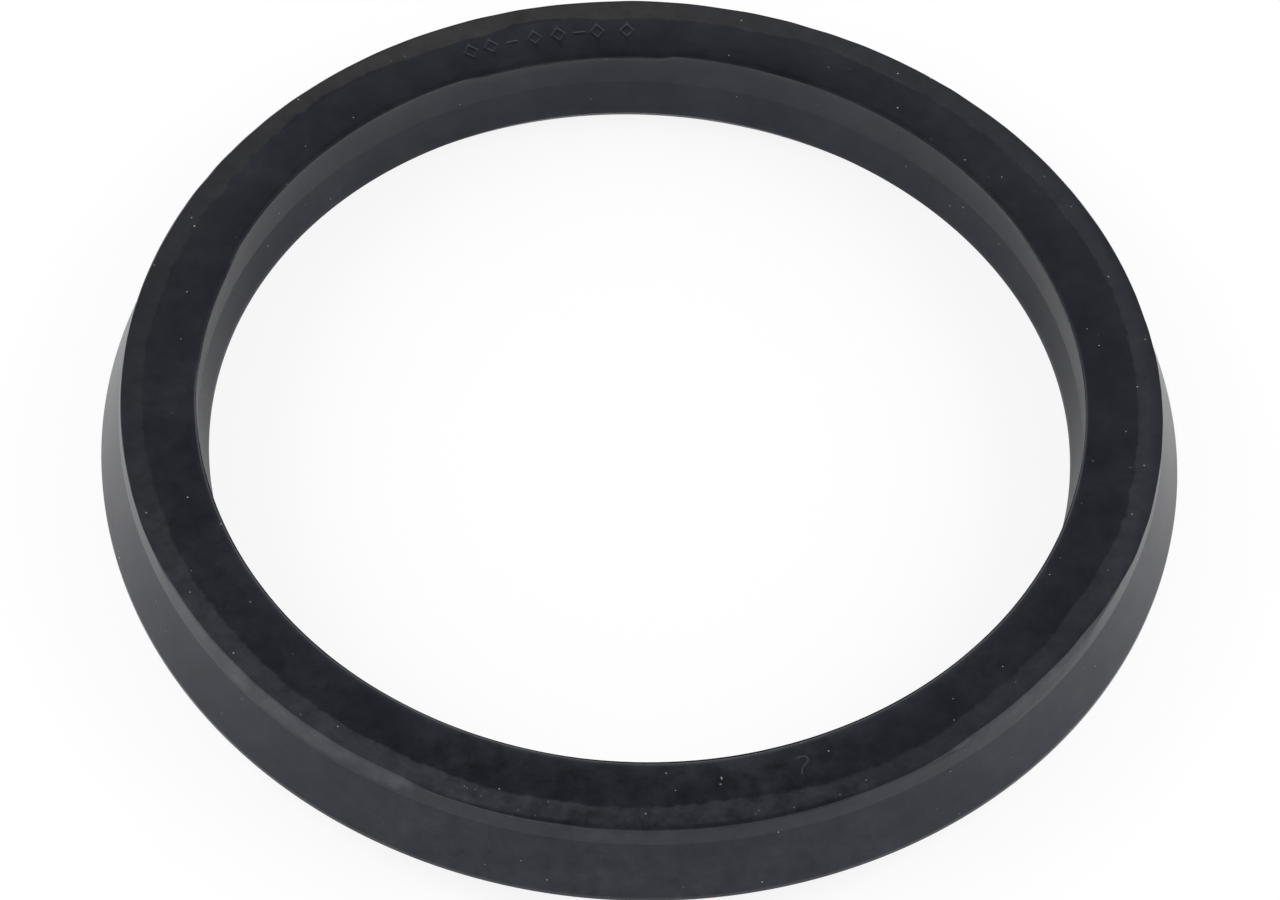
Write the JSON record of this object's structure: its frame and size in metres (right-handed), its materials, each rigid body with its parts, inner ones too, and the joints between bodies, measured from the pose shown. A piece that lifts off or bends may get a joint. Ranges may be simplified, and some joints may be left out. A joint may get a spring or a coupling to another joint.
{
  "type": "u-cup lip seal ring",
  "caption": "Moulded black rubber U-cup seal ring: a solid heel with an inner and an outer sealing lip that flare apart, and an open channel between them.",
  "frame": {"origin": "on the ring's axis, in the plane of the lip ends, on which the ring rests", "axes": "+Z along the ring's axis, from the lip ends to the heel face; X and Y across the ring, which is round"},
  "size_m": [0.08, 0.08, 0.0085],
  "materials": {
    "rubber": "moulded black nitrile rubber, satin, with a duller ground rim on the heel face"
  },
  "bodies": {
    "root": {"seal_ring": "rubber"}
  },
  "joints": []
}
